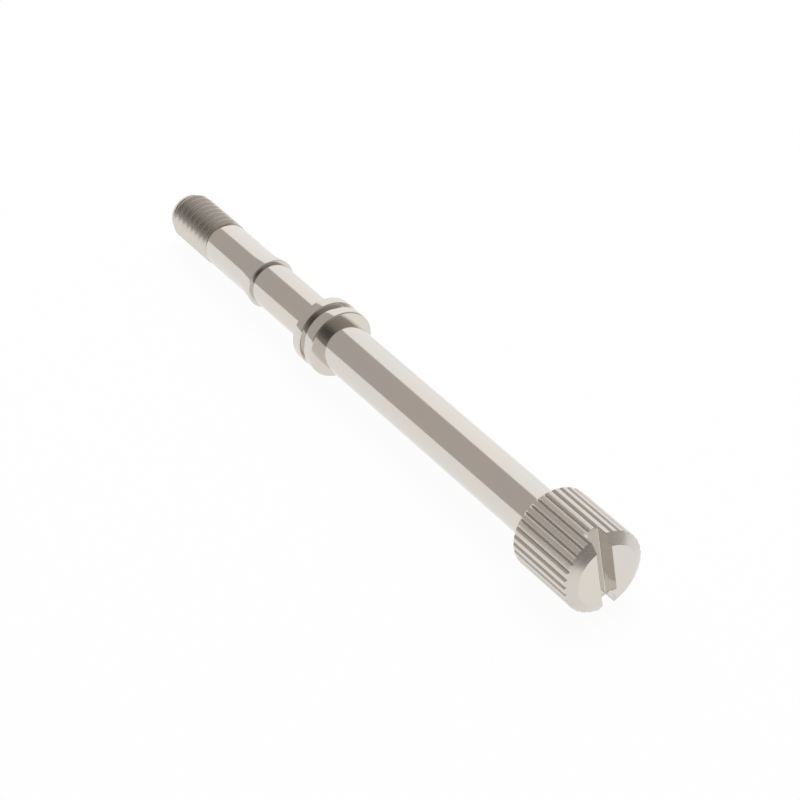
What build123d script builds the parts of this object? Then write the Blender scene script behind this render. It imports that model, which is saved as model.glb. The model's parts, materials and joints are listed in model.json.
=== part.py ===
from build123d import *
import os
from math import cos, pi, sin

# A captive jackscrew for a connector hood: one long slender screw, turned from
# one bar and plated. It lies along X with its thread at the -X end and its
# knurled, slotted head at the +X end. The origin is on the axis, in the bearing
# face of the front flange, where the captive neck ends. All sizes are in mm.

# Threaded tip: one right-hand helical groove, cut into a bar of the major
# diameter. The chamfer goes down to the thread's root and is longer than deep.
thread_diameter = 2.96
thread_length = 4.65
thread_pitch = 0.5
thread_depth = 0.29
thread_crest_width = 0.06
thread_root_width = 0.1
tip_chamfer_across = 0.3
tip_chamfer_along = 0.7

# The last turn is incomplete: the groove rises out of the bar on a cone, and
# the crest drops slightly before the step down to the front shank.
groove_runout_length = 0.7
crest_runout_length = 0.55
runout_drop = 0.02

# Front shank, barb and captive neck. The barb rises towards the head and drops
# in a square step, so that a panel snapped on the neck stays on it.
front_shank_diameter = 2.84
front_shank_length = 4.0
barb_diameter = 3.22
barb_length = 1.3
neck_diameter = 2.82
neck_length = 5.9

# Two flanges with a narrow groove between them.
flange_diameter = 4.28
front_flange_thickness = 0.72
flange_groove_width = 0.53
flange_groove_diameter = 3.8
rear_flange_thickness = 0.71
flange_edge_break = 0.06

# Long plain shank up to the head.
main_shank_diameter = 3.07
main_shank_length = 21.2
head_fillet = 0.35

# Knurled head with a screwdriver slot across its end.
head_diameter = 5.1
head_length = 5.2
head_back_chamfer = 0.1
head_front_chamfer_across = 0.62
head_front_chamfer_along = 0.46
knurl_ridges = 32
knurl_groove_width = 0.25
knurl_groove_depth = 0.125
slot_width = 1.0
slot_depth = 1.2
slot_lean = 8.5  # degrees from upright, its top towards -Y

# How far a cutting solid reaches past what it cuts. The thread's is small, so
# that its turns stay clear of one another.
cut_margin = 1.0
thread_cut_margin = 0.04

# Stations along the axis, worked out from the front flange's bearing face.
barb_step_x = -neck_length
barb_start_x = barb_step_x - barb_length
thread_end_x = barb_start_x - front_shank_length
tip_x = thread_end_x - thread_length
front_flange_back_x = front_flange_thickness
rear_flange_front_x = front_flange_back_x + flange_groove_width
rear_flange_back_x = rear_flange_front_x + rear_flange_thickness
head_back_x = rear_flange_back_x + main_shank_length
head_end_x = head_back_x + head_length

thread_r = thread_diameter / 2
thread_root_r = thread_r - thread_depth
front_shank_r = front_shank_diameter / 2
barb_r = barb_diameter / 2
neck_r = neck_diameter / 2
flange_r = flange_diameter / 2
flange_groove_r = flange_groove_diameter / 2
main_shank_r = main_shank_diameter / 2
head_r = head_diameter / 2
runout_r = thread_r - runout_drop


def flange_outline(front_x, back_x):
    """Corners of one flange's rim, with both edges lightly broken."""
    return [
        (front_x, flange_r - flange_edge_break),
        (front_x + flange_edge_break, flange_r),
        (back_x - flange_edge_break, flange_r),
        (back_x, flange_r - flange_edge_break),
    ]


def stem():
    """Everything in front of the head, revolved from its half section."""
    outline = [
        (tip_x, 0),
        (tip_x, thread_r - tip_chamfer_across),
        (tip_x + tip_chamfer_along, thread_r),
        (thread_end_x - crest_runout_length, thread_r),
        (thread_end_x, runout_r),
        (thread_end_x, front_shank_r),
        (barb_start_x, front_shank_r),
        (barb_step_x, barb_r),
        (barb_step_x, neck_r),
        (0, neck_r),
        *flange_outline(0, front_flange_back_x),
        (front_flange_back_x, flange_groove_r),
        (rear_flange_front_x, flange_groove_r),
        *flange_outline(rear_flange_front_x, rear_flange_back_x),
        (rear_flange_back_x, main_shank_r),
        (head_back_x - head_fillet, main_shank_r),
    ]
    fillet_end = (head_back_x, main_shank_r + head_fillet)
    with BuildPart() as turned:
        with BuildSketch(Plane.XY):
            with BuildLine():
                Polyline(*outline)
                RadiusArc(outline[-1], fillet_end, -head_fillet)
                Polyline(fillet_end, (head_back_x, 0), outline[0])
            make_face()
        revolve(axis=Axis.X)
    return turned.part


def thread_groove():
    """The helical groove's own shape, starting in front of the tip.

    Its four walls are ruled between helices, one at each corner of its section.
    """
    start_x = tip_x - 1.25 * thread_pitch
    length = thread_end_x - start_x
    flank_run = (thread_pitch - thread_crest_width - thread_root_width) / 2
    root_half = thread_root_width / 2
    mouth_half = root_half + flank_run * (1 + thread_cut_margin / thread_depth)
    corners = (
        (thread_r + thread_cut_margin, -mouth_half),
        (thread_root_r, -root_half),
        (thread_root_r, root_half),
        (thread_r + thread_cut_margin, mouth_half),
    )
    edges = [
        Helix(thread_pitch, length, radius, center=(start_x + offset, 0, 0), direction=(1, 0, 0))
        for radius, offset in corners
    ]
    walls = [
        Face.make_surface_from_curves(edge, beside)
        for edge, beside in zip(edges, edges[1:] + edges[:1])
    ]
    ends = [
        Face(Wire.make_polygon([edge @ end for edge in edges], close=True))
        for end in (0, 1)
    ]
    return Solid(Shell(walls + ends))


def groove_runout():
    """The cone on which the thread's groove rises to the front shank."""
    outline = [
        (thread_end_x - groove_runout_length, 0),
        (thread_end_x - groove_runout_length, thread_root_r),
        (thread_end_x, thread_r),
        (thread_end_x + thread_pitch, thread_r + 2 * thread_cut_margin),
        (thread_end_x + thread_pitch, 0),
    ]
    with BuildPart() as cone:
        with BuildSketch(Plane.XY):
            with BuildLine():
                Polyline(*outline, close=True)
            make_face()
        revolve(axis=Axis.X)
    return cone.part


def head_blank():
    """The head before knurling: a short bar with a chamfer at each end."""
    outline = [
        (head_back_x, 0),
        (head_back_x, head_r - head_back_chamfer),
        (head_back_x + head_back_chamfer, head_r),
        (head_end_x - head_front_chamfer_along, head_r),
        (head_end_x, head_r - head_front_chamfer_across),
        (head_end_x, 0),
    ]
    with BuildPart() as blank:
        with BuildSketch(Plane.XY):
            with BuildLine():
                Polyline(*outline, close=True)
            make_face()
        revolve(axis=Axis.X)
    return blank.part


def knurl_bar():
    """A bar with the straight knurl's cross section: flat ridges, V grooves.

    A groove faces straight down, so the head stands on the two ridges beside it.
    """
    step = 2 * pi / knurl_ridges
    half_groove = knurl_groove_width / 2 / head_r
    root_r = head_r - knurl_groove_depth
    corners = []
    for ridge in range(knurl_ridges):
        groove_angle = ridge * step
        for angle, radius in (
            (groove_angle - half_groove, head_r),
            (groove_angle, root_r),
            (groove_angle + half_groove, head_r),
        ):
            corners.append((radius * cos(angle), radius * sin(angle)))
    with BuildPart() as bar:
        with BuildSketch(Plane.YZ.offset(head_back_x)):
            Polygon(*corners, align=None)
        extrude(amount=head_length)
    return bar.part


def slot_cutter():
    """The straight screwdriver slot, right across the head's end."""
    length = head_diameter + 2 * cut_margin
    depth = slot_depth + cut_margin
    cutter = Box(depth, slot_width, length)
    cutter = Pos(head_end_x - slot_depth + depth / 2, 0, 0) * cutter
    return Rot(slot_lean, 0, 0) * cutter


threaded_stem = stem() - (thread_groove() - groove_runout())
jackscrew = threaded_stem + (head_blank() & knurl_bar()) - slot_cutter()
jackscrew.label = "jackscrew"

os.makedirs("parts", exist_ok=True)
export_step(jackscrew, "parts/jackscrew.step")
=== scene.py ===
import json
from math import acos, atan2, ceil, cos, pi, radians, sin, tan

import bpy
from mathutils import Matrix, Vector


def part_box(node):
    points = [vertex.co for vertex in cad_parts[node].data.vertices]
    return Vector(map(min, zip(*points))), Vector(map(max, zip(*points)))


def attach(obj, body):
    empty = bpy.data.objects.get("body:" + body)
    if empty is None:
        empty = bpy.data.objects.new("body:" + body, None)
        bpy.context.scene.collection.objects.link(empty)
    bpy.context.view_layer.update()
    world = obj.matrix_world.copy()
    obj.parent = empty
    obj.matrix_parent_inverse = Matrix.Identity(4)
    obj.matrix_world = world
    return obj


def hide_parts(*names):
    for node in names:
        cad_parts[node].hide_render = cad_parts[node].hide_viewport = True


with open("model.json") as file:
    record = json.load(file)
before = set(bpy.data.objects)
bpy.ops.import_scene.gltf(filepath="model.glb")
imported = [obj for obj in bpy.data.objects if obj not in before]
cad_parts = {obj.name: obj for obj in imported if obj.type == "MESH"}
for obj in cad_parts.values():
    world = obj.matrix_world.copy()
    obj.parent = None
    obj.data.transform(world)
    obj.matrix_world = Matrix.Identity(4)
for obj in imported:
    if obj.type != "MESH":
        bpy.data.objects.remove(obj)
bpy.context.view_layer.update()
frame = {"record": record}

# A captive jackscrew, turned from one bar: threaded tip, front shank with a
# snap-in barb, two thin flanges, a long plain shank and a knurled, slotted head.
# It lies along X, thread at -X and head at +X, with its axis through the origin.

MM = 0.001

# ---------------------------------------------------------------- sizes

box_low, box_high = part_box("jackscrew")
mounts = {mount["name"]: mount for mount in frame["record"]["mounts"]}
tip_x = box_low.x
head_end_x = box_high.x
slot_mouth_x = mounts["driver_slot"]["pos_m"][0]
thread_r = mounts["thread"]["dims"]["r_mm"] * MM
neck_r = mounts["captive_neck"]["dims"]["r_mm"] * MM
neck_length = mounts["captive_neck"]["dims"]["length_mm"] * MM

# Threaded tip: a standard M3 x 0.5 right-hand thread. It is wound a few turns too
# long at each end, and then trimmed.
thread_length = 4.65 * MM
tip_chamfer_across = 0.3 * MM
tip_chamfer_along = 0.7 * MM
thread_pitch = 0.5 * MM
thread_depth = 0.29 * MM
crest_flat = 0.02 * MM
crest_round = 0.015 * MM
root_flat = 0.1 * MM
runout_length = 0.7 * MM
runout_drop = 0.02 * MM
spare_turns = 3

# Front shank and barb.
front_shank_r = 1.42 * MM
barb_r = 1.61 * MM
barb_length = 1.3 * MM
barb_round = 0.06 * MM

# Flanges and the groove between them.
flange_r = 2.14 * MM
front_flange_thickness = 0.72 * MM
flange_groove_width = 0.53 * MM
flange_groove_r = 1.9 * MM
rear_flange_thickness = 0.71 * MM
flange_edge_break = 0.06 * MM

# Main shank.
main_shank_r = 1.535 * MM
head_fillet = 0.35 * MM

# Head. Its ridges stay just inside the box.
inside_box = 0.001 * MM
head_r = box_high.z - inside_box
head_length = 5.2 * MM
head_back_chamfer = 0.1 * MM
head_front_chamfer_across = 0.62 * MM
head_front_chamfer_along = 0.46 * MM
knurl_ridges = 32
knurl_groove_depth = 0.125 * MM
knurl_groove_profile = (1.0, 0.68, 0.35, 0.04)  # shares of the depth, from the root outwards
slot_width = 1.0 * MM
slot_depth = 1.2 * MM
slot_lean = radians(8.5)
slot_mouth_break = 0.03 * MM
slot_floor_round = 0.04 * MM

# How softly a turned corner is broken, and how finely round work is divided.
# Faces that meet at less than the last angle are shaded as one.
corner_round = 0.02 * MM
turned_sides = 160
knurl_sides_per_ridge = 12
blank_sides_per_ridge = 8
thread_steps = 96
arc_steps = 4
fillet_steps = 6
smooth_below = radians(28)

# Solids that meet are turned a little apart, and the fillet reaches a little into
# the head, so that no edge falls on another and every cut between them is clean.
turned_facet_shift = radians(0.3)
head_facet_shift = radians(0.16)
fillet_reach = 0.003 * MM

# A spot beside the screw, level with nothing on it. A cut piece's points are
# numbered by their distance from it, so they are numbered alike every time.
numbering_spot = Vector((41, 13, 17)) * MM

# How far one solid reaches past another that cuts or joins it, and how near two
# points lie when they are merged.
overlap = 0.1 * MM
weld_gap = 0.0002 * MM

# Stations along the axis.
thread_end_x = tip_x + thread_length
barb_step_x = -neck_length
barb_start_x = barb_step_x - barb_length
front_flange_back_x = front_flange_thickness
rear_flange_front_x = front_flange_back_x + flange_groove_width
rear_flange_back_x = rear_flange_front_x + rear_flange_thickness
head_back_x = head_end_x - head_length


# ---------------------------------------------------------------- bench tools

def clear_selection():
    bpy.ops.object.select_all(action="DESELECT")


def pick(piece):
    clear_selection()
    piece.select_set(True)
    bpy.context.view_layer.objects.active = piece


def mark_vertices(piece, wanted):
    """In object mode, selects only the vertices that wanted(index, place) accepts."""
    mesh = piece.data
    for polygon in mesh.polygons:
        polygon.select = False
    for edge in mesh.edges:
        edge.select = False
    for vertex in mesh.vertices:
        vertex.select = wanted(vertex.index, vertex.co)


def softened(corners):
    """Stations of a half section, with an arc at each corner that has a radius."""
    points = [Vector((x, r)) for x, r, _ in corners]
    stations = [tuple(points[0])]
    for before, corner, after, (_, _, radius) in zip(points, points[1:], points[2:], corners[1:]):
        to_before = (before - corner).normalized()
        to_after = (after - corner).normalized()
        opening = acos(max(-1.0, min(1.0, to_before.dot(to_after))))
        if radius == 0 or pi - opening < radians(1):
            stations.append(tuple(corner))
            continue
        reach = radius / tan(opening / 2)
        centre = corner + (to_before + to_after).normalized() * radius / sin(opening / 2)
        start = corner + to_before * reach - centre
        end = corner + to_after * reach - centre
        first = atan2(start.y, start.x)
        swing = (atan2(end.y, end.x) - first + pi) % (2 * pi) - pi
        for step in range(arc_steps + 1):
            angle = first + swing * step / arc_steps
            stations.append((centre.x + radius * cos(angle), centre.y + radius * sin(angle)))
    stations.append(tuple(points[-1]))
    return stations


def turn(name, stations, sides=turned_sides, facet_shift=turned_facet_shift):
    """A round solid about X: a disc drawn out and widened from station to station."""
    clear_selection()
    last_x, last_r = stations[0]
    bpy.ops.mesh.primitive_circle_add(
        vertices=sides, radius=last_r, fill_type="NGON", location=(last_x, 0, 0),
        rotation=(0, pi / 2, 0),
    )
    piece = bpy.context.object
    piece.name = name
    bpy.ops.object.transform_apply(location=True, rotation=True, scale=True)
    bpy.ops.object.mode_set(mode="EDIT")
    bpy.ops.mesh.select_all(action="SELECT")
    bpy.ops.transform.rotate(value=facet_shift, orient_axis="X", center_override=(last_x, 0, 0))
    for x, r in stations[1:]:
        bpy.ops.mesh.extrude_region_move(TRANSFORM_OT_translate={"value": (x - last_x, 0, 0)})
        bpy.ops.transform.resize(value=(1, r / last_r, r / last_r), center_override=(x, 0, 0))
        last_x, last_r = x, r
    close_and_face_out()
    bpy.ops.object.mode_set(mode="OBJECT")
    return piece


def close_and_face_out():
    """In edit mode: merges doubled points, drops strays, turns every face outwards."""
    bpy.ops.mesh.select_all(action="SELECT")
    bpy.ops.mesh.remove_doubles(threshold=weld_gap)
    bpy.ops.mesh.select_all(action="SELECT")
    bpy.ops.mesh.delete_loose()
    bpy.ops.mesh.select_all(action="SELECT")
    bpy.ops.mesh.normals_make_consistent(inside=False)


def combine(piece, tool, operation):
    """Cuts, trims or joins piece with tool, which is used up."""
    number_afresh(piece)
    number_afresh(tool)
    modifier = piece.modifiers.new(operation.title(), "BOOLEAN")
    modifier.operation = operation
    modifier.solver = "EXACT"
    modifier.object = tool
    pick(piece)
    bpy.ops.object.modifier_apply(modifier=modifier.name)
    bpy.data.objects.remove(tool)
    number_afresh(piece)
    return piece


def number_afresh(piece):
    """Numbers a piece's points, edges and faces outwards from the numbering spot."""
    bpy.context.scene.cursor.location = numbering_spot
    pick(piece)
    bpy.ops.object.mode_set(mode="EDIT")
    bpy.ops.mesh.select_all(action="SELECT")
    bpy.ops.mesh.sort_elements(type="CURSOR_DISTANCE", elements={"VERT", "EDGE", "FACE"})
    bpy.ops.object.mode_set(mode="OBJECT")
    bpy.context.scene.cursor.location = (0, 0, 0)


# ---------------------------------------------------------------- threaded tip

def wound_thread():
    """The thread before trimming: one tooth's outline wound along the axis."""
    flank = (thread_pitch - crest_flat - root_flat) / 2
    lip = crest_round * flank / thread_depth
    outline = [
        (crest_flat / 2, 0),
        (crest_flat / 2 + 2 * lip, -crest_round),
        (crest_flat / 2 + flank, -thread_depth),
        (crest_flat / 2 + flank + root_flat, -thread_depth),
        (thread_pitch - crest_flat / 2 - 2 * lip, -crest_round),
        (thread_pitch - crest_flat / 2, 0),
        (thread_pitch, 0),
    ]
    start_x = tip_x - spare_turns * thread_pitch
    clear_selection()
    bpy.ops.mesh.primitive_plane_add(size=thread_pitch, location=(start_x, thread_r, 0))
    piece = bpy.context.object
    piece.name = "thread"
    bpy.ops.object.transform_apply(location=True, rotation=True, scale=True)
    mark_vertices(piece, lambda index, place: index > 0)
    bpy.ops.object.mode_set(mode="EDIT")
    bpy.ops.mesh.delete(type="VERT")
    bpy.ops.mesh.select_all(action="SELECT")
    bpy.ops.transform.translate(value=(thread_pitch / 2, thread_pitch / 2, 0))
    last_x, last_rise = 0, 0
    for x, rise in outline:
        bpy.ops.mesh.extrude_vertices_move(
            TRANSFORM_OT_translate={"value": (x - last_x, rise - last_rise, 0)}
        )
        last_x, last_rise = x, rise
    bpy.ops.object.mode_set(mode="OBJECT")
    winding = piece.modifiers.new("Winding", "SCREW")
    winding.axis = "X"
    winding.angle = 2 * pi
    winding.screw_offset = thread_pitch
    winding.iterations = ceil(thread_length / thread_pitch) + 2 * spare_turns
    winding.steps = thread_steps
    winding.render_steps = thread_steps
    winding.use_merge_vertices = False
    pick(piece)
    bpy.ops.object.modifier_apply(modifier=winding.name)
    # Each turn is joined to the next before the ends are trimmed.
    bpy.ops.object.mode_set(mode="EDIT")
    close_and_face_out()
    bpy.ops.object.mode_set(mode="OBJECT")
    return piece


def trim_square(piece, x, keep_above):
    """Cuts a piece square to the axis at x and closes the cut."""
    pick(piece)
    bpy.ops.object.mode_set(mode="EDIT")
    bpy.ops.mesh.select_all(action="SELECT")
    bpy.ops.mesh.bisect(
        plane_co=(x, 0, 0),
        plane_no=(1, 0, 0),
        use_fill=True,
        clear_inner=keep_above,
        clear_outer=not keep_above,
        threshold=weld_gap,
    )
    bpy.ops.object.mode_set(mode="OBJECT")


def threaded_tip():
    """The thread, chamfered at the tip, its last crest dropping into the run-out."""
    bar_end_x = thread_end_x - 2 * runout_drop
    thread = wound_thread()
    trim_square(thread, tip_x - overlap, keep_above=True)
    trim_square(thread, thread_end_x + overlap, keep_above=False)
    pick(thread)
    bpy.ops.object.mode_set(mode="EDIT")
    close_and_face_out()
    bpy.ops.object.mode_set(mode="OBJECT")
    slope = tip_chamfer_along / tip_chamfer_across
    bar = turn("tip_bar", softened([
        (tip_x, thread_r - tip_chamfer_across - 2 * corner_round, 0),
        (tip_x, thread_r - tip_chamfer_across, corner_round),
        (tip_x + tip_chamfer_along + overlap * slope, thread_r + overlap, 0),
        (bar_end_x, thread_r + overlap, 0),
        (bar_end_x, front_shank_r / 2, 0),
    ]))
    return combine(thread, bar, "INTERSECT")


# ---------------------------------------------------------------- stem

def flange_corners(front_x, back_x):
    """Corners of one flange's rim, both edges lightly broken."""
    return [
        (front_x, flange_r - flange_edge_break, corner_round),
        (front_x + flange_edge_break, flange_r, corner_round),
        (back_x - flange_edge_break, flange_r, corner_round),
        (back_x, flange_r - flange_edge_break, corner_round),
    ]


def stem():
    """From the thread's run-out to the head: shanks, barb and both flanges."""
    root_r = thread_r - thread_depth
    fillet_x = head_back_x + fillet_reach - head_fillet
    fillet_r = main_shank_r + head_fillet
    fillet_angles = [step * pi / 2 / fillet_steps for step in range(fillet_steps + 1)]
    fillet = [
        (fillet_x + head_fillet * sin(angle), fillet_r - head_fillet * cos(angle), 0)
        for angle in fillet_angles
    ]
    return turn("stem", softened([
        (thread_end_x - runout_length, root_r - overlap, 0),
        (thread_end_x - overlap, front_shank_r - runout_drop, 0),
        (thread_end_x, front_shank_r, 0),
        (barb_start_x, front_shank_r, 0),
        (barb_step_x, barb_r, barb_round),
        (barb_step_x, neck_r, 0),
        (0, neck_r, 0),
        *flange_corners(0, front_flange_back_x),
        (front_flange_back_x, flange_groove_r, 0),
        (rear_flange_front_x, flange_groove_r, 0),
        *flange_corners(rear_flange_front_x, rear_flange_back_x),
        (rear_flange_back_x, main_shank_r, 0),
        *fillet,
        (head_back_x + overlap, fillet_r, 0),
    ]))


# ---------------------------------------------------------------- head

def knurled_bar():
    """A bar with the straight knurl's section: flat ridges, rounded V grooves."""
    sides = knurl_ridges * knurl_sides_per_ridge
    clear_selection()
    bpy.ops.mesh.primitive_circle_add(
        vertices=sides, radius=head_r, fill_type="NGON", location=(head_back_x - overlap, 0, 0),
        rotation=(0, pi / 2, 0),
    )
    bar = bpy.context.object
    bar.name = "knurled_head"
    bpy.ops.object.transform_apply(location=True, rotation=True, scale=True)
    # A groove is three sides wide each way: its root, its flanks and its lips.
    for offset, share in enumerate(knurl_groove_profile):
        both_sides = (offset, -offset % knurl_sides_per_ridge)
        mark_vertices(bar, lambda index, place: index % knurl_sides_per_ridge in both_sides)
        bpy.ops.object.mode_set(mode="EDIT")
        scale = 1 - share * knurl_groove_depth / head_r
        bpy.ops.transform.resize(value=(1, scale, scale), center_override=(head_back_x - overlap, 0, 0))
        bpy.ops.object.mode_set(mode="OBJECT")
    bpy.ops.object.mode_set(mode="EDIT")
    bpy.ops.mesh.select_all(action="SELECT")
    bpy.ops.mesh.extrude_region_move(
        TRANSFORM_OT_translate={"value": (head_length + 2 * overlap, 0, 0)}
    )
    close_and_face_out()
    bpy.ops.object.mode_set(mode="OBJECT")
    return bar


def slot_cutter():
    """The screwdriver slot's own shape, with a lightly broken mouth."""
    floor_x = slot_mouth_x - slot_depth
    shoulder_x = slot_mouth_x - slot_mouth_break
    middle_x = (floor_x + shoulder_x) / 2
    clear_selection()
    bpy.ops.mesh.primitive_cube_add(size=1, location=(middle_x, 0, 0), rotation=(slot_lean, 0, 0))
    cutter = bpy.context.object
    cutter.name = "slot_cutter"
    cutter.scale = (shoulder_x - floor_x, slot_width, 2 * head_r + 2 * overlap)
    bpy.ops.object.transform_apply(location=False, rotation=False, scale=True)
    # The long edges of the slot's floor are rounded first, then its mouth is flared.
    mark_vertices(cutter, lambda index, place: False)
    bpy.ops.object.mode_set(mode="EDIT")
    bpy.ops.mesh.select_mode(type="EDGE")
    bpy.ops.object.mode_set(mode="OBJECT")
    for edge in cutter.data.edges:
        ends = [cutter.data.vertices[i].co for i in edge.vertices]
        edge.select = all(end.x < 0 for end in ends) and abs(ends[0].z - ends[1].z) > head_r
    bpy.ops.object.mode_set(mode="EDIT")
    bpy.ops.mesh.bevel(offset=slot_floor_round, segments=arc_steps, clamp_overlap=False)
    bpy.ops.mesh.select_mode(type="FACE")
    bpy.ops.object.mode_set(mode="OBJECT")
    mark_vertices(cutter, lambda index, place: False)
    for polygon in cutter.data.polygons:
        polygon.select = polygon.normal.x > 0.9
    bpy.ops.object.mode_set(mode="EDIT")
    flare = 1 + 2 * (slot_mouth_break + overlap) / slot_width
    bpy.ops.mesh.extrude_region_move(
        TRANSFORM_OT_translate={"value": (slot_mouth_break + overlap, 0, 0)}
    )
    bpy.ops.transform.resize(
        value=(1, flare, 1), orient_type="LOCAL", center_override=(middle_x, 0, 0)
    )
    bpy.ops.mesh.select_mode(type="VERT")
    close_and_face_out()
    bpy.ops.object.mode_set(mode="OBJECT")
    bpy.ops.object.transform_apply(location=True, rotation=True, scale=True)
    return cutter


def head():
    """The knurled bar, chamfered at both ends and slotted."""
    slope = head_front_chamfer_along / head_front_chamfer_across
    blank = turn("head_blank", softened([
        (head_back_x, head_r / 2, 0),
        (head_back_x, head_r - head_back_chamfer, corner_round),
        (head_back_x + head_back_chamfer + overlap, head_r + overlap, 0),
        (head_end_x - head_front_chamfer_along - overlap * slope, head_r + overlap, 0),
        (head_end_x, head_r - head_front_chamfer_across, corner_round),
        (head_end_x, head_r / 2, 0),
    ]), sides=knurl_ridges * blank_sides_per_ridge, facet_shift=head_facet_shift)
    bar = combine(knurled_bar(), blank, "INTERSECT")
    return combine(bar, slot_cutter(), "DIFFERENCE")


# ---------------------------------------------------------------- finish

unmarked_roughness = 0.09
marked_roughness = 0.13
mark_height = 0.002 * MM
mark_strength = 0.25
# Colour of the painted shade, which darkens the grooves of the thread and knurl and the head's chamfer.
painted_shade_colour = (0.42, 0.375, 0.33, 1)


def shader_group(name, inputs, outputs):
    """An empty node group with named sockets, its input and output nodes placed."""
    group = bpy.data.node_groups.new(name, "ShaderNodeTree")
    for socket, kind, default in inputs:
        made = group.interface.new_socket(socket, in_out="INPUT", socket_type=kind)
        if default is not None:
            made.default_value = default
    for socket, kind in outputs:
        group.interface.new_socket(socket, in_out="OUTPUT", socket_type=kind)
    return group, group.nodes.new("NodeGroupInput"), group.nodes.new("NodeGroupOutput")


def math_node(tree, operation, first, second=None, third=None):
    """A Math node. Each operand is a number or another node's output."""
    node = tree.nodes.new("ShaderNodeMath")
    node.operation = operation
    for socket, operand in zip(node.inputs, (first, second, third)):
        if operand is None:
            continue
        if isinstance(operand, (int, float)):
            socket.default_value = operand
        else:
            tree.links.new(operand, socket)
    return node.outputs[0]


def ramp_between(tree, value, low, high, to_low=0.0, to_high=1.0):
    """value eased from to_low at low up to to_high at high."""
    node = tree.nodes.new("ShaderNodeMapRange")
    node.interpolation_type = "SMOOTHSTEP"
    tree.links.new(value, node.inputs["Value"])
    node.inputs["From Min"].default_value = low
    node.inputs["From Max"].default_value = high
    node.inputs["To Min"].default_value = to_low
    node.inputs["To Max"].default_value = to_high
    return node.outputs["Result"]


def along_and_radius(group, given):
    """How far along the axis the given place lies, and how far out from it."""
    apart = group.nodes.new("ShaderNodeSeparateXYZ")
    group.links.new(given.outputs["Place"], apart.inputs[0])
    y_squared = math_node(group, "MULTIPLY", apart.outputs["Y"], apart.outputs["Y"])
    z_squared = math_node(group, "MULTIPLY", apart.outputs["Z"], apart.outputs["Z"])
    radius = math_node(group, "SQRT", math_node(group, "ADD", y_squared, z_squared))
    return apart.outputs["X"], radius


def turning_marks_group():
    """Fine tool marks round the axis: a height, and how strongly each spot is marked."""
    group, given, result = shader_group(
        "turning_marks",
        [("Place", "NodeSocketVector", None), ("Marks per metre", "NodeSocketFloat", 9000.0)],
        [("Height", "NodeSocketFloat"), ("Mark", "NodeSocketFloat")],
    )
    along, radius = along_and_radius(group, given)
    across = group.nodes.new("ShaderNodeCombineXYZ")
    group.links.new(along, across.inputs["X"])
    group.links.new(radius, across.inputs["Y"])
    noise = group.nodes.new("ShaderNodeTexNoise")
    noise.noise_dimensions = "2D"
    noise.inputs["Detail"].default_value = 3.0
    noise.inputs["Roughness"].default_value = 0.6
    group.links.new(across.outputs[0], noise.inputs["Vector"])
    group.links.new(given.outputs["Marks per metre"], noise.inputs["Scale"])
    group.links.new(noise.outputs["Fac"], result.inputs["Height"])
    group.links.new(ramp_between(group, noise.outputs["Fac"], 0.4, 0.65), result.inputs["Mark"])
    return group


def worked_roughness_and_painted_shade_group():
    """Where the surface was rolled or cut coarser than the shanks: the thread, the
    knurl and the head's chamfer. Gives the extra roughness, and how strongly to paint
    shade into the colour: deeper into the thread's and knurl's grooves, and evenly
    over the chamfer."""
    group, given, result = shader_group(
        "worked_roughness_and_painted_shade",
        [
            ("Place", "NodeSocketVector", None),
            ("Thread roughness", "NodeSocketFloat", 0.17),
            ("Knurl roughness", "NodeSocketFloat", 0.26),
            ("Chamfer roughness", "NodeSocketFloat", 0.16),
            ("Thread shade", "NodeSocketFloat", 0.04),
            ("Knurl shade", "NodeSocketFloat", 0.24),
            ("Chamfer shade", "NodeSocketFloat", 0.14),
        ],
        [("Roughness", "NodeSocketFloat"), ("Shade", "NodeSocketFloat")],
    )
    along, radius = along_and_radius(group, given)
    edge = 0.03 * MM
    knurl_root_r = head_r - knurl_groove_depth
    end_face_r = head_r - head_front_chamfer_across
    chamfer_x = head_end_x - head_front_chamfer_along
    on_thread = ramp_between(group, along, thread_end_x - edge, thread_end_x + edge, 1.0, 0.0)
    past_back = ramp_between(group, along, head_back_x - edge, head_back_x + edge)
    past_knurl = ramp_between(group, along, chamfer_x - edge, chamfer_x + edge)
    at_rim = ramp_between(group, radius, knurl_root_r - 2 * edge, knurl_root_r - edge)
    off_end_face = ramp_between(group, radius, end_face_r - edge, end_face_r + edge)
    on_knurl = math_node(
        group, "MULTIPLY", math_node(group, "SUBTRACT", past_back, past_knurl), at_rim
    )
    on_chamfer = math_node(group, "MULTIPLY", past_knurl, off_end_face)
    # Painted shade: the colour darkens towards the roots of the thread's and knurl's grooves, where
    # shade falls; the chamfer is darkened evenly.
    in_thread = ramp_between(group, radius, thread_r - thread_depth, thread_r, 1.0, 0.0)
    in_knurl = ramp_between(group, radius, knurl_root_r, head_r, 1.0, 0.0)
    shares = (
        (on_thread, in_thread, "Thread"),
        (on_knurl, in_knurl, "Knurl"),
        (on_chamfer, 1.0, "Chamfer"),
    )
    roughness, shade = 0.0, 0.0
    for there, depth, name in shares:
        rough_here = math_node(group, "MULTIPLY", there, given.outputs[name + " roughness"])
        roughness = math_node(group, "ADD", rough_here, roughness)
        shade_here = math_node(group, "MULTIPLY", there, given.outputs[name + " shade"])
        shade_here = math_node(group, "MULTIPLY", shade_here, depth)
        shade = math_node(group, "ADD", shade_here, shade)
    group.links.new(roughness, result.inputs["Roughness"])
    group.links.new(shade, result.inputs["Shade"])
    return group


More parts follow.
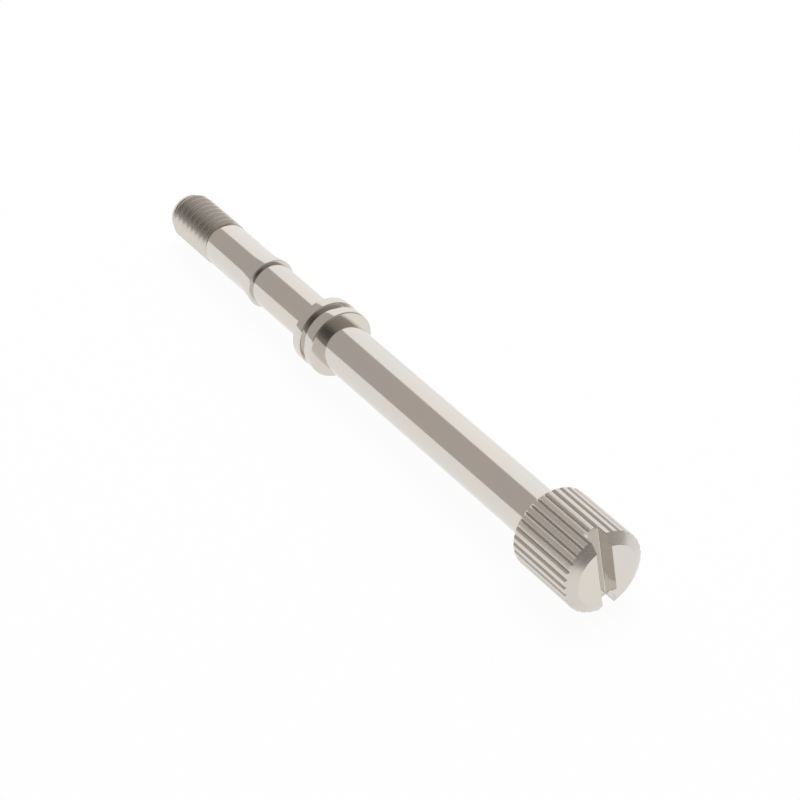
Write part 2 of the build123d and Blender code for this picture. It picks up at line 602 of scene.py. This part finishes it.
def plating_tone_group():
    """Slow, cloudy change of the plating from warm to cool."""
    group, given, result = shader_group(
        "plating_tone",
        [
            ("Place", "NodeSocketVector", None),
            ("Warm", "NodeSocketColor", (0.7, 0.65, 0.59, 1)),
            ("Cool", "NodeSocketColor", (0.68, 0.65, 0.61, 1)),
            ("Clouds per metre", "NodeSocketFloat", 420.0),
        ],
        [("Color", "NodeSocketColor"), ("Cloud", "NodeSocketFloat")],
    )
    noise = group.nodes.new("ShaderNodeTexNoise")
    noise.inputs["Detail"].default_value = 2.0
    group.links.new(given.outputs["Place"], noise.inputs["Vector"])
    group.links.new(given.outputs["Clouds per metre"], noise.inputs["Scale"])
    cloud = ramp_between(group, noise.outputs["Fac"], 0.35, 0.65)
    mix = group.nodes.new("ShaderNodeMix")
    mix.data_type = "RGBA"
    group.links.new(cloud, mix.inputs["Factor"])
    group.links.new(given.outputs["Warm"], mix.inputs["A"])
    group.links.new(given.outputs["Cool"], mix.inputs["B"])
    group.links.new(mix.outputs["Result"], result.inputs["Color"])
    group.links.new(cloud, result.inputs["Cloud"])
    return group


def nickel_plate():
    """Warm satin nickel over fine turning marks, with painted shade in the thread's and knurl's grooves
    and on the head's chamfer.
    """
    material = bpy.data.materials.new("nickel_plate")
    material.use_nodes = True
    tree = material.node_tree
    surface = tree.nodes["Principled BSDF"]
    surface.inputs["Metallic"].default_value = 1.0
    place = tree.nodes.new("ShaderNodeTexCoord").outputs["Object"]
    tone = tree.nodes.new("ShaderNodeGroup")
    tone.node_tree = plating_tone_group()
    tree.links.new(place, tone.inputs["Place"])
    marks = tree.nodes.new("ShaderNodeGroup")
    marks.node_tree = turning_marks_group()
    tree.links.new(place, marks.inputs["Place"])
    worked_and_shaded = tree.nodes.new("ShaderNodeGroup")
    worked_and_shaded.node_tree = worked_roughness_and_painted_shade_group()
    tree.links.new(place, worked_and_shaded.inputs["Place"])
    # Painted shade: the plating's colour is mixed towards the painted shade colour on the worked areas.
    shade = tree.nodes.new("ShaderNodeMix")
    shade.data_type = "RGBA"
    shade.inputs["B"].default_value = painted_shade_colour
    tree.links.new(worked_and_shaded.outputs["Shade"], shade.inputs["Factor"])
    tree.links.new(tone.outputs["Color"], shade.inputs["A"])
    tree.links.new(shade.outputs["Result"], surface.inputs["Base Color"])
    turned_roughness = ramp_between(
        tree, marks.outputs["Mark"], 0.0, 1.0, unmarked_roughness, marked_roughness
    )
    roughness = math_node(tree, "ADD", turned_roughness, worked_and_shaded.outputs["Roughness"])
    tree.links.new(roughness, surface.inputs["Roughness"])
    bump = tree.nodes.new("ShaderNodeBump")
    bump.inputs["Strength"].default_value = mark_strength
    bump.inputs["Distance"].default_value = mark_height
    tree.links.new(marks.outputs["Height"], bump.inputs["Height"])
    tree.links.new(bump.outputs["Normal"], surface.inputs["Normal"])
    return material


# ---------------------------------------------------------------- the screw

def jackscrew():
    """The whole turned screw as one closed piece."""
    screw = combine(stem(), threaded_tip(), "UNION")
    screw = combine(screw, head(), "UNION")
    screw.name = "jackscrew_turned"
    screw.data.name = "jackscrew_turned"
    pick(screw)
    bpy.ops.object.mode_set(mode="EDIT")
    close_and_face_out()
    bpy.ops.object.mode_set(mode="OBJECT")
    bpy.ops.object.shade_smooth_by_angle(angle=smooth_below)
    screw.data.materials.clear()
    screw.data.materials.append(nickel_plate())
    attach(screw, "root")
    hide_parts("jackscrew")
    return screw


jackscrew()


# ---------------------------------------------------------------- studio

camera_azimuth = radians(56.65)
camera_elevation = radians(34.94)
camera_distance = 182.13 * MM
camera_focal_length = 143.55
camera_aim = Vector((9.2135, -0.6130, 0.4867)) * MM

# The room by direction. In each stop the first number says how nearly a direction
# points at the camera, with 1 for straight at it, and the second how bright it is.
room_tint = Vector((1.0, 0.935, 0.895))
room_stops = [(0.0, 0.525), (0.54, 0.44), (0.87, 0.33), (0.91, 0.28), (0.97, 0.16), (1.0, 0.11)]

# The sheet starts a little past overhead, on the side away from the camera, and
# fades out in the directions that lean towards the head.
sheet_starts = radians(12)
sheet_is_full = radians(18)
sheet_stops = 0.2
sheet_white = (1.08, 1.08, 1.08, 1)

floor_size = 1.2
floor_white = (0.9, 0.9, 0.9, 1)
floor_glow_share = 0.95
lamp_place = Vector((-0.05, 0.08, 0.3))
lamp_size = 0.25
lamp_energy = 0.6
camera_side = Vector((
    sin(camera_azimuth) * cos(camera_elevation),
    -cos(camera_azimuth) * cos(camera_elevation),
    sin(camera_elevation),
))


def place_camera():
    lens = bpy.data.cameras.new("camera")
    lens.sensor_width = 36
    lens.lens = camera_focal_length
    lens.clip_start = 5 * MM
    lens.clip_end = 10
    camera = bpy.data.objects.new("camera", lens)
    camera.location = camera_aim + camera_side * camera_distance
    camera.rotation_euler = (-camera_side).to_track_quat("-Z", "Y").to_euler()
    bpy.context.scene.collection.objects.link(camera)
    bpy.context.scene.camera = camera


def studio_surroundings():
    """White to the eye. In the metal: a grey room, a white sheet hung behind the
    thread's far side, and the dark of the camera and whoever holds it."""
    world = bpy.data.worlds.new("studio")
    bpy.context.scene.world = world
    world.use_nodes = True
    tree = world.node_tree
    tree.nodes.clear()
    direction = tree.nodes.new("ShaderNodeTexCoord").outputs["Generated"]
    apart = tree.nodes.new("ShaderNodeSeparateXYZ")
    tree.links.new(direction, apart.inputs[0])
    x, y, z = apart.outputs

    towards_camera = tree.nodes.new("ShaderNodeVectorMath")
    towards_camera.operation = "DOT_PRODUCT"
    towards_camera.inputs[1].default_value = camera_side
    tree.links.new(direction, towards_camera.inputs[0])
    room = tree.nodes.new("ShaderNodeValToRGB")
    ramp = room.color_ramp
    ramp.elements[0].position = room_stops[0][0]
    ramp.elements[1].position = room_stops[-1][0]
    for position, _ in room_stops[1:-1]:
        ramp.elements.new(position)
    for element, (_, brightness) in zip(ramp.elements, room_stops):
        element.color = (*(room_tint * brightness), 1)
    tree.links.new(towards_camera.outputs["Value"], room.inputs["Fac"])

    lean = math_node(tree, "ARCTAN2", y, z)
    past_overhead = ramp_between(tree, lean, sheet_starts, sheet_is_full)
    short_of_head = ramp_between(tree, x, 0.0, sheet_stops, 1.0, 0.0)
    sheet = math_node(tree, "MULTIPLY", past_overhead, short_of_head)
    sheeted = tree.nodes.new("ShaderNodeMix")
    sheeted.data_type = "RGBA"
    sheeted.inputs["B"].default_value = sheet_white
    tree.links.new(sheet, sheeted.inputs["Factor"])
    tree.links.new(room.outputs["Color"], sheeted.inputs["A"])

    below = ramp_between(tree, z, -0.01, 0.01, 1.0, 0.0)
    around = tree.nodes.new("ShaderNodeMix")
    around.data_type = "RGBA"
    around.inputs["B"].default_value = (1, 1, 1, 1)
    tree.links.new(below, around.inputs["Factor"])
    tree.links.new(sheeted.outputs["Result"], around.inputs["A"])

    seen = tree.nodes.new("ShaderNodeMix")
    seen.data_type = "RGBA"
    seen.inputs["B"].default_value = (1, 1, 1, 1)
    path = tree.nodes.new("ShaderNodeLightPath")
    tree.links.new(path.outputs["Is Camera Ray"], seen.inputs["Factor"])
    tree.links.new(around.outputs["Result"], seen.inputs["A"])
    background = tree.nodes.new("ShaderNodeBackground")
    output = tree.nodes.new("ShaderNodeOutputWorld")
    tree.links.new(seen.outputs["Result"], background.inputs["Color"])
    tree.links.new(background.outputs[0], output.inputs["Surface"])


def white_floor():
    """A white board that the head's rim and the rear flange both touch."""
    material = bpy.data.materials.new("white_board")
    material.use_nodes = True
    tree = material.node_tree
    tree.nodes.clear()
    path = tree.nodes.new("ShaderNodeLightPath")
    seen = math_node(tree, "MAXIMUM", path.outputs["Is Camera Ray"], path.outputs["Is Glossy Ray"])
    seen = math_node(tree, "MAXIMUM", seen, path.outputs["Is Transmission Ray"])
    matt = tree.nodes.new("ShaderNodeBsdfDiffuse")
    matt.inputs["Color"].default_value = floor_white
    glow = tree.nodes.new("ShaderNodeEmission")
    mix = tree.nodes.new("ShaderNodeMixShader")
    tree.links.new(math_node(tree, "MULTIPLY", seen, floor_glow_share), mix.inputs[0])
    tree.links.new(matt.outputs[0], mix.inputs[1])
    tree.links.new(glow.outputs[0], mix.inputs[2])
    output = tree.nodes.new("ShaderNodeOutputMaterial")
    tree.links.new(mix.outputs[0], output.inputs["Surface"])
    material.cycles.emission_sampling = "NONE"

    rise = (head_r - flange_r) / (head_back_x - rear_flange_back_x)
    clear_selection()
    bpy.ops.mesh.primitive_plane_add(size=floor_size, location=(0, 0, 0))
    floor = bpy.context.object
    floor.name = "floor"
    for vertex in floor.data.vertices:
        vertex.co.z = -flange_r - (vertex.co.x - rear_flange_back_x) * rise
    floor.data.materials.append(material)


def soft_lamp():
    """One large soft lamp overhead, for the board and its faint shadow."""
    light = bpy.data.lights.new("soft_lamp", "AREA")
    light.shape = "DISK"
    light.size = lamp_size
    light.energy = lamp_energy
    lamp = bpy.data.objects.new("soft_lamp", light)
    lamp.location = lamp_place
    lamp.rotation_euler = (-lamp.location).to_track_quat("-Z", "Y").to_euler()
    lamp.visible_glossy = False
    lamp.visible_camera = False
    bpy.context.scene.collection.objects.link(lamp)


place_camera()
studio_surroundings()
white_floor()
soft_lamp()
bpy.context.scene.view_settings.view_transform = "Standard"
